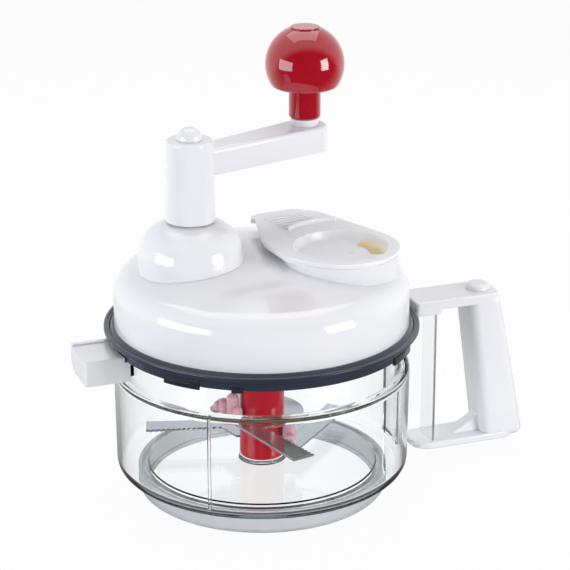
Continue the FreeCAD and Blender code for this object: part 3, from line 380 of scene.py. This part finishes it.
NODE_MATERIAL = {
    "bowl": CLEAR,
    "foot_ring": FOOT,
    "handle": WHITE,
    "handle_cap": WHITE,
    "side_grip": WHITE,
    "lid_ring": DARK,
    "lid_shell": WHITE,
    "gearbox_dome": WHITE,
    "gear_plate": IVORY,
    "plate_screws": STEEL,
    "crank_bush": BRASS,
    "filler_cup": CUP_WHITE,
    "crank_shaft": STEEL,
    "drive_gear": IVORY,
    "crank_arm": WHITE,
    "crank_cap": WHITE,
    "knob_pin": STEEL,
    "knob": RED,
    "knob_cap": RED,
    "spindle": STEEL,
    "pinion": IVORY,
    "blade_post": RED_INSIDE,
    "blade_spacer_foot": RED,
    "blade_spacer_low": RED,
    "blade_spacer_mid": RED,
    "blade_low": BLADE,
    "blade_mid": BLADE,
    "blade_high": BLADE,
}


def dress_nodes():
    """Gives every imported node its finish."""
    for name, material in NODE_MATERIAL.items():
        for place in NODES[name].material_slots:
            place.material = material


dress_nodes()


def start():
    """Lets go of everything, so that an operator acts on the new piece alone."""
    if bpy.context.object and bpy.context.object.mode != "OBJECT":
        bpy.ops.object.mode_set(mode="OBJECT")
    bpy.ops.object.select_all(action="DESELECT")


def take(piece):
    """Makes one piece the selected and active one."""
    start()
    piece.select_set(True)
    bpy.context.view_layer.objects.active = piece


def softened(corners, steps=5):
    """An outline (mm) whose corners with a third number are rounded by that radius."""
    points = []
    count = len(corners)
    for index, corner in enumerate(corners):
        here = Vector(corner[:2])
        if len(corner) < 3:
            points.append(here)
            continue
        before = (Vector(corners[index - 1][:2]) - here).normalized()
        after = (Vector(corners[(index + 1) % count][:2]) - here).normalized()
        half = before.angle(after) / 2.0
        reach = corner[2] / math.tan(half)
        middle = here + (before + after).normalized() * (corner[2] / math.sin(half))
        first = here + before * reach - middle
        last = here + after * reach - middle
        turn = first.angle_signed(last)
        for step in range(steps + 1):
            share = turn * step / steps
            points.append(middle + Matrix.Rotation(-share, 2) @ first)
    return points


def lone_point(name, place):
    """A plane cut down to a single point, ready to be drawn out."""
    start()
    bpy.ops.mesh.primitive_plane_add(size=MM, location=(0.0, 0.0, 0.0))
    piece = bpy.context.object
    piece.name = name
    bpy.ops.object.mode_set(mode="EDIT")
    bpy.ops.mesh.select_all(action="SELECT")
    bpy.ops.mesh.merge(type="CENTER")
    bpy.ops.transform.translate(value=place)
    return piece


def lathe(name, corners, sections=144, centre=(0.0, 0.0), steps=5, closed=True):
    """Turns an outline of (radius, height) in mm about an upright axis."""
    outline = [Vector((centre[0] + point[0], centre[1], point[1])) * MM
               for point in softened(corners, steps)]
    piece = lone_point(name, outline[0])
    for here, following in zip(outline, outline[1:] + (outline[:1] if closed else [])):
        bpy.ops.mesh.extrude_region_move(TRANSFORM_OT_translate={"value": following - here})
    bpy.ops.mesh.select_all(action="SELECT")
    bpy.ops.mesh.remove_doubles(threshold=TURNED_MERGE)
    bpy.ops.mesh.spin(steps=sections, angle=2.0 * math.pi, axis=(0.0, 0.0, 1.0),
                      center=(centre[0] * MM, centre[1] * MM, 0.0))
    bpy.ops.mesh.select_all(action="SELECT")
    bpy.ops.mesh.remove_doubles(threshold=TURNED_MERGE)
    bpy.ops.mesh.normals_make_consistent(inside=False)
    bpy.ops.object.mode_set(mode="OBJECT")
    return piece


def pulled(name, points, pull):
    """Draws a flat outline point by point, fills it and pulls it into a solid."""
    piece = lone_point(name, points[0])
    for here, following in zip(points, points[1:]):
        bpy.ops.mesh.extrude_region_move(TRANSFORM_OT_translate={"value": following - here})
    bpy.ops.mesh.select_all(action="SELECT")
    bpy.ops.mesh.edge_face_add()
    bpy.ops.mesh.select_all(action="SELECT")
    bpy.ops.mesh.extrude_region_move(TRANSFORM_OT_translate={"value": pull})
    bpy.ops.mesh.select_all(action="SELECT")
    bpy.ops.mesh.remove_doubles(threshold=PULLED_MERGE)
    bpy.ops.mesh.normals_make_consistent(inside=False)
    bpy.ops.object.mode_set(mode="OBJECT")
    return piece


def slab(name, outline, bottom, top):
    """A flat shape (mm, seen from above) pulled up from one height to another."""
    points = [Vector((point[0], point[1], bottom)) * MM for point in outline]
    return pulled(name, points, (0.0, 0.0, (top - bottom) * MM))


def side_slab(name, outline, near, far):
    """A flat shape (mm, seen from the front as x and z) pulled back from one y to another."""
    points = [Vector((point[0], near, point[1])) * MM for point in outline]
    return pulled(name, points, (0.0, (far - near) * MM, 0.0))


def box_outline(left, right, near, far, rounding=0.0):
    """Four corners seen from above, rounded if asked."""
    corners = [(left, near), (right, near), (right, far), (left, far)]
    if rounding:
        corners = [(*corner, rounding) for corner in corners]
    return softened(corners)


def combine(piece, tool, operation):
    """Adds a tool to a piece or takes it out, and throws the tool away."""
    take(piece)
    change = piece.modifiers.new(operation.lower(), "BOOLEAN")
    change.operation = operation
    change.solver = "EXACT"
    change.object = tool
    bpy.ops.object.modifier_apply(modifier=change.name)
    bpy.data.objects.remove(tool)
    return piece


def add(piece, *tools):
    """Joins tools to a piece."""
    for tool in tools:
        combine(piece, tool, "UNION")
    return piece


def cut(piece, *tools):
    """Takes tools out of a piece."""
    for tool in tools:
        combine(piece, tool, "DIFFERENCE")
    return piece


def round_edges(piece, width, segments=3, angle=35.0):
    """Breaks the sharp edges of a piece."""
    take(piece)
    change = piece.modifiers.new("edges", "BEVEL")
    change.width = width * MM
    change.segments = segments
    change.limit_method = "ANGLE"
    change.angle_limit = math.radians(angle)
    bpy.ops.object.modifier_apply(modifier=change.name)
    return piece


def spun(piece, angle):
    """Turns a piece about the bowl's axis by degrees."""
    piece.data.transform(Matrix.Rotation(math.radians(angle), 4, "Z"))
    return piece


def finish(piece, material, body, slot, *nodes, smooth=32.0):
    """Smooths a piece, gives it its finish, lets it ride on a body and stand for CAD nodes."""
    take(piece)
    bpy.ops.object.shade_smooth_by_angle(angle=math.radians(smooth))
    even = piece.modifiers.new("even", "WEIGHTED_NORMAL")
    even.keep_sharp = True
    even.weight = 90
    bpy.ops.object.modifier_apply(modifier=even.name)
    piece.data.materials.clear()
    piece.data.materials.append(material)
    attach(piece, body)
    if nodes:
        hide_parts(*nodes)
    return piece


def clear_bowl():
    """Thin-walled stepped bowl with its pin, handle column, bayonet lugs, grip lug and the upright rib."""
    wall = lathe("bowl_clear", [
        (0.0, BOWL_UNDER), (66.4, BOWL_UNDER), (66.4, FOOT_UNDER), (69.6, FOOT_UNDER), (69.6, BOWL_UNDER),
        (84.0, BOWL_UNDER, 7.0), (84.8, BOWL_STEP, 1.1), (80.0, BOWL_STEP, 0.8),
        (80.0, BOWL_RIM, 1.0), (77.6, BOWL_RIM, 1.0), (77.6, 72.6, 1.6), (82.3, 72.2, 1.6),
        (81.6, 16.2, 4.6), (66.4, 16.2, 0.5), (65.6, BOWL_FLOOR, 0.4), (13.4, BOWL_FLOOR, 0.8),
        (13.4, 18.8, 0.6), (4.0, 18.8, 0.5), (4.0, PIN_TOP, 1.5), (0.0, PIN_TOP)],
        closed=False)
    column = slab("column", box_outline(79.0, 105.4, -10.8, 10.8, 1.6), 13.9, 96.4)
    cut(column, slab("column_hollow", box_outline(85.9, 104.2, -9.6, 9.6, 0.8), 10.0, 94.0))
    cut(column, lathe("column_gap", [
        (60.0, 10.0), (83.2, 10.0), (83.2, 73.0), (79.2, 73.0),
        (79.2, 90.0), (86.8, 90.0), (86.8, 99.0), (60.0, 99.0)]))
    add(wall, column)
    add(wall, slab("grip_lug", box_outline(-92.0, -79.0, -10.0, 10.0, 1.0), 81.5, 89.6))
    for number in range(4):
        add(wall, bayonet_lug(37.0 + 90.0 * number))
    rib_plan = softened([(80.9, -0.9, 0.6), (83.2, -0.9), (83.2, 0.9), (80.9, 0.9, 0.6)])
    add(wall, spun(slab("rib", rib_plan, 17.5, 73.2), RIB_TURN))
    return finish(wall, CLEAR, "base", "clear_plastic", "bowl", smooth=38.0)


def arc(radius, first, last, steps, centre=(0.0, 0.0)):
    """Points in mm on a circle from one direction to another."""
    turns = [math.radians(first + (last - first) * step / steps) for step in range(steps + 1)]
    return [(centre[0] + radius * math.cos(turn), centre[1] + radius * math.sin(turn)) for turn in turns]


def bayonet_lug(angle):
    """One lug under the ring's skirt."""
    spread = 8.0
    plan = arc(78.9, -spread, spread, 2) + arc(83.3, spread, -spread, 4)
    return spun(slab("bayonet_lug", plan, 95.0, 97.0), angle)


def cup_outline(radius, inset=0.0):
    """The dish's round edge running out into the wide thumb tab, seen from above."""
    points = arc(radius, -148.0, 20.0, 28, CUP_CENTRE)
    tab = [points[-1], (51.0 - inset, 43.5 - inset, 9.0), (38.5 - inset, 52.8 - inset, 5.0),
           (13.6 + inset, 50.6 - inset, 4.0), (1.6 + inset, 3.0, 24.0), (4.6 + inset, -27.0, 20.0),
           points[0]]
    return points[:-1] + softened(tab, 8)[:-1]


def curved_bar(name, middle, radius, width, turn, span, bottom, top, steps=24):
    """A bar bent round a centre, with round ends."""
    half = width / 2.0
    first, last = turn - span / 2.0, turn + span / 2.0
    outer = arc(radius + half, first, last, steps, middle)
    inner = arc(radius - half, last, first, steps, middle)
    far_hub = arc(radius, last, last, 1, middle)[0]
    near_hub = arc(radius, first, first, 1, middle)[0]
    far = arc(half, last + 30.0, last + 150.0, 4, far_hub)
    near = arc(half, first + 210.0, first + 330.0, 4, near_hub)
    return slab(name, outer + far + inner + near, bottom, top)


def filler_cup():
    """Shallow oil cup with a dished floor, an oil slot, a thumb tab with ribs and a curled end."""
    cup = slab("filler_cup_dish", cup_outline(33.4), 144.6, CUP_TOP)
    round_edges(cup, 0.8, 3)
    add(cup, slab("lower_step", cup_outline(32.2, 1.1), 143.2, 145.2))
    add(cup, lathe("spigot", [(0.0, CUP_UNDER), (28.0, CUP_UNDER), (28.0, 145.0), (0.0, 145.0)],
                   centre=CUP_CENTRE, sections=96, closed=False))
    cut(cup, lathe("spigot_hollow", [(0.0, 130.0), (26.2, 130.0), (26.2, CUP_INSIDE), (0.0, CUP_INSIDE)],
                   centre=CUP_CENTRE, sections=96, closed=False))
    cut(cup, lathe("basin", [(0.0, BASIN_FLOOR), (25.4, BASIN_FLOOR, 1.6), (26.9, CUP_TOP, 0.7),
                             (29.5, 147.5), (29.5, 152.0), (0.0, 152.0)],
                   centre=CUP_CENTRE, sections=96, closed=False))
    cut(cup, curved_bar("slot", CUP_CENTRE, 20.8, 9.2, 8.0, 42.0, 136.0, 146.0))
    ridge = curved_bar("ridge", (46.0, -12.5), 37.0, 2.6, 104.0, 52.0, 146.4, 149.4)
    round_edges(ridge, 0.9, 4)
    add(cup, ridge)
    for number in range(TAB_RIBS):
        out = 43.0 + TAB_RIB_STEP * number - TAB_RIB_BEND
        hub = arc(out, TAB_TURN, TAB_TURN, 1, CUP_CENTRE)[0]
        rib = curved_bar("tab_rib", hub, TAB_RIB_BEND, 2.5, TAB_TURN, 22.0, 146.5, 147.65, 12)
        round_edges(rib, 0.5, 3)
        add(cup, rib)
    lip_plan = softened([(12.4, 44.0, 0.5), (16.0, 50.4, 0.5), (12.4, 51.4, 0.5), (9.8, 45.2, 0.5)])
    lip = slab("tab_lip", lip_plan, 143.4, 146.2)
    round_edges(lip, 0.5, 2)
    add(cup, lip)
    finish(cup, CUP_WHITE, "cup", "white_plastic", "filler_cup", smooth=40.0)
    # Painted shade and glow: the faces inside the spigot, below the basin floor, take the beige glowing
    # material instead of the cup's white.
    cup.data.materials.append(PAINTED_SHADE_AND_GLOW)
    centre = Vector((*CUP_CENTRE, 0.0)) * MM
    for face in cup.data.polygons:
        spot = face.center - centre
        inside = Vector((spot.x, spot.y)).length < 26.6 * MM
        if inside and face.center.z < 141.9 * MM:
            face.material_index = 1
    return cup


def post_sleeve():
    """The post's lower part: a glossy sleeve that the two lower blades come out of."""
    sleeve = lathe("post_sleeve", [(8.9, 19.2), (12.6, 19.2, 0.5), (13.0, 20.6, 0.3),
                                   (13.0, 43.9, 0.2), (8.9, 43.9)], sections=96)
    return finish(sleeve, RED_INSIDE, "blades", "red_plastic",
                  "blade_spacer_foot", "blade_spacer_low", "blade_spacer_mid")


def hub_lobes(name, angle, bottom, stand):
    """A small moulded grip beside the post: one tall lobe and two low ones."""
    piece = None
    for across, aside, radius, height in ((17.6, 1.5, 3.6, stand), (21.6, -3.4, 3.3, stand * 0.60),
                                          (24.6, -7.0, 2.6, stand * 0.40), (15.8, 6.2, 3.0, stand * 0.5)):
        top = bottom + height
        lobe = lathe("lobe", [(0.0, bottom), (radius, bottom), (radius, top, radius * 0.92), (0.0, top)],
                     centre=(across, aside), sections=32, closed=False)
        piece = lobe if piece is None else add(piece, lobe)
    piece.name = name
    spun(piece, angle)
    return finish(piece, PINK, "blades", "red_plastic", smooth=60.0)


def handle():
    """Open handle: a flat top arm and foot plate, and a leaning grip with full round edges between them."""
    arm_plan = softened([(91.4, -HANDLE_HALF, 2.0), (145.6, -HANDLE_HALF, 7.0),
                         (145.6, HANDLE_HALF, 7.0), (91.4, HANDLE_HALF, 2.0)])
    arm = slab("handle_white", arm_plan, ARM_UNDER, ARM_TOP)
    round_edges(arm, 1.1, 3, 50.0)
    plate_plan = softened([(93.0, -HANDLE_HALF, 10.5), (157.0, -HANDLE_HALF, 7.0),
                           (157.0, HANDLE_HALF, 7.0), (93.0, HANDLE_HALF, 10.5)])
    plate = slab("foot_plate", plate_plan, PLATE_UNDER, PLATE_TOP)
    round_edges(plate, 1.0, 3, 50.0)
    grip = side_slab("grip", [(137.3, 9.2), (164.3, 9.2), (145.9, 102.9), (124.7, 102.9)], -12.5, 12.5)
    round_edges(grip, 6.2, 6, 60.0)
    web_plan = softened([(118.0, 12.8), (142.0, 12.8), (139.0, 33.0), (134.9, 22.5, 8.0)])
    web = side_slab("web", web_plan, -4.5, 4.5)
    round_edges(web, 1.0, 2, 50.0)
    socket = slab("socket", box_outline(91.3, 107.6, -12.6, 12.6, 1.6), 94.2, 99.0)
    round_edges(socket, 0.6, 2, 50.0)
    add(arm, socket, grip, plate, web)
    cut(arm, slab("column_seat", box_outline(84.0, 105.7, -11.1, 11.1, 0.8), 80.0, 96.7))
    return finish(arm, WHITE, "base", "white_plastic", "handle", smooth=40.0)


def side_grip():
    """Small block over the bowl's lug, with a raised lip along its rear top edge and a swept underside."""
    profile = [(-13.5, 79.6), (9.0, 79.6), (13.2, 81.0), (16.0, 84.2), (17.0, 88.4),
               (17.0, 95.5), (-13.5, 95.5)]
    block = side_slab("side_grip_white", profile, 82.2, 108.4)
    spun(block, 90.0)
    round_edges(block, 0.9, 3, 50.0)
    cut(block, slab("groove", [(-130.0, -30.0), (-70.0, -30.0), (-70.0, 12.8), (-130.0, 12.8)],
                    94.6, 99.0))
    cut(block, lathe("skirt_room", [(0.0, 91.6), (86.7, 91.6), (86.7, 101.0), (0.0, 101.0)],
                     closed=False))
    cut(block, slab("lug_seat", box_outline(-92.4, -70.0, -10.4, 10.4), 81.1, 90.0))
    return finish(block, WHITE, "base", "white_plastic", "side_grip", smooth=40.0)


def ring_catch(name, first, last, bottom, top):
    """A short curved block on the ring's skirt between two directions."""
    plan = arc(86.9, first, last, 8) + arc(85.2, last, first, 8)
    catch = slab(name, plan, bottom, top)
    round_edges(catch, 0.35, 2)
    return finish(catch, CATCH, "lid", "dark_plastic", smooth=40.0)


clear_bowl()
filler_cup()
handle()
side_grip()
post_sleeve()
hub_lobes("hub_lobes_high", 172.0, 45.3, 12.5)
hub_lobes("hub_lobes_low", -55.0, 30.2, 12.0)
# The third block, from -121 to -116.5 degrees, is painted shade: a black piece put in a notch of the ring's
# skirt where there is only shade.
for place, (first, last, low, high) in enumerate((
        (-148.0, -133.0, 90.4, 93.4), (-136.5, -133.0, 90.6, 95.6), (-121.0, -116.5, 90.8, 94.0),
        (-52.0, -36.0, 90.4, 94.6), (32.0, 47.0, 90.4, 94.6), (122.0, 137.0, 90.4, 94.6))):
    ring_catch("ring_catch_%d" % (place + 1), first, last, low, high)


def studio_floor():
    """A pale sweep that keeps a faint shadow, and lies in the dark for mirrors in front of the part."""
    bpy.ops.object.select_all(action="DESELECT")
    bpy.ops.mesh.primitive_plane_add(size=8.0, location=(0.0, 0.0, 0.0))
    floor = bpy.context.object
    floor.name = "studio_floor"
    material = bpy.data.materials.new("studio_floor")
    material.use_nodes = True
    tree = material.node_tree
    tree.nodes.clear()
    output = tree.nodes.new("ShaderNodeOutputMaterial")
    paper = tree.nodes.new("ShaderNodeBsdfDiffuse")
    paper.inputs["Color"].default_value = (0.88, 0.88, 0.89, 1.0)
    glow = tree.nodes.new("ShaderNodeEmission")
    light = tree.nodes.new("ShaderNodeLightPath").outputs["Is Transmission Ray"]
    extra = combined(tree, "MULTIPLY", light, THROUGH_GLASS - 1.0)
    tree.links.new(combined(tree, "ADD", extra, 1.0), glow.inputs["Strength"])
    mix = tree.nodes.new("ShaderNodeMixShader")
    tree.links.new(combined(tree, "MULTIPLY", seen_rays(tree), FLOOR_GLOW), mix.inputs["Fac"])
    tree.links.new(paper.outputs["BSDF"], mix.inputs[1])
    tree.links.new(glow.outputs["Emission"], mix.inputs[2])
    gloom = tree.nodes.new("ShaderNodeEmission")
    place = tree.nodes.new("ShaderNodeTexCoord").outputs["Object"]
    path = tree.nodes.new("ShaderNodeLightPath")
    inside = combined(tree, "MULTIPLY", path.outputs["Is Transmission Ray"], GLASS_GLOOM)
    around = toward(tree, place, BACKDROP_SIDE, -0.10, 0.35, ROOM_DARK)
    tree.links.new(combined(tree, "MAXIMUM", around, inside), gloom.inputs["Strength"])
    either = tree.nodes.new("ShaderNodeMixShader")
    tree.links.new(mirror_rays(tree), either.inputs["Fac"])
    tree.links.new(mix.outputs["Shader"], either.inputs[1])
    tree.links.new(gloom.outputs["Emission"], either.inputs[2])
    tree.links.new(either.outputs["Shader"], output.inputs["Surface"])
    floor.data.materials.append(material)


def studio_world():
    """White where it is looked at, white paper behind for mirrors and glass, calmer where it lights."""
    world = bpy.data.worlds.new("studio")
    bpy.context.scene.world = world
    world.use_nodes = True
    tree = world.node_tree
    tree.nodes.clear()
    output = tree.nodes.new("ShaderNodeOutputWorld")
    direction = tree.nodes.new("ShaderNodeTexCoord").outputs["Generated"]
    paper = toward(tree, direction, BACKDROP_SIDE, -0.15, 0.20, ROOM_DARK)
    path = tree.nodes.new("ShaderNodeLightPath")
    through = path.outputs["Is Transmission Ray"]
    inside = combined(tree, "MULTIPLY", through, GLASS_GLOOM)
    mirrored = combined(tree, "MULTIPLY", mirror_rays(tree), combined(tree, "MAXIMUM", paper, inside))
    straight = combined(tree, "MULTIPLY", through, combined(tree, "SUBTRACT", 1.0, mirror_rays(tree)))
    backdrop = toward(tree, direction, BACKDROP_SIDE, -0.40, 0.05, GLASS_DARK)
    behind = combined(tree, "MULTIPLY", straight, backdrop)
    behind = combined(tree, "MULTIPLY", behind, THROUGH_GLASS)
    bright = combined(tree, "MAXIMUM", path.outputs["Is Camera Ray"],
                      combined(tree, "MAXIMUM", mirrored, behind))
    lighting = combined(tree, "MULTIPLY", combined(tree, "SUBTRACT", 1.0, seen_rays(tree)), ROOM_LIGHT)
    air = tree.nodes.new("ShaderNodeBackground")
    air.inputs["Color"].default_value = (0.97, 0.98, 1.0, 1.0)
    tree.links.new(combined(tree, "ADD", bright, lighting), air.inputs["Strength"])
    tree.links.new(air.outputs["Background"], output.inputs["Surface"])


def softbox(name, place, target, width, height, power, colour=(1.0, 1.0, 1.0)):
    """A rectangular lamp aimed at a point."""
    light = bpy.data.lights.new(name, "AREA")
    light.shape = "RECTANGLE"
    light.size = width
    light.size_y = height
    light.energy = power
    light.color = colour
    lamp = bpy.data.objects.new(name, light)
    bpy.context.scene.collection.objects.link(lamp)
    lamp.location = place
    lamp.rotation_mode = "QUATERNION"
    lamp.rotation_quaternion = (Vector(target) - Vector(place)).to_track_quat("-Z", "Y")
    lamp.visible_camera = False


def studio_lamps():
    """A big lamp overhead and one window each at the left and the front right."""
    softbox("overhead", (0.10, 0.40, 1.30), (0.0, 0.0, 0.12), 1.2, 1.0, 5.8, (1.0, 0.99, 0.98))
    softbox("left_window", (-1.08, -0.20, 0.28), (0.0, 0.0, 0.14), 0.90, 0.50, 6.2, (0.95, 0.97, 1.0))
    softbox("front_window", (0.96, -1.13, 0.34), (0.0, 0.0, 0.14), 0.60, 0.72, 12.6)


def photographer():
    """The camera at the photograph's place."""
    camera = bpy.data.cameras.new("camera")
    camera.sensor_width = SENSOR
    camera.lens = LENS
    camera.clip_start = 0.05
    camera.clip_end = 50.0
    holder = bpy.data.objects.new("camera", camera)
    bpy.context.scene.collection.objects.link(holder)
    holder.location = EYE
    holder.rotation_mode = "QUATERNION"
    holder.rotation_quaternion = LOOK.to_track_quat("-Z", "Y")
    bpy.context.scene.camera = holder


bpy.context.scene.view_settings.view_transform = "Standard"
photographer()
studio_world()
studio_floor()
studio_lamps()
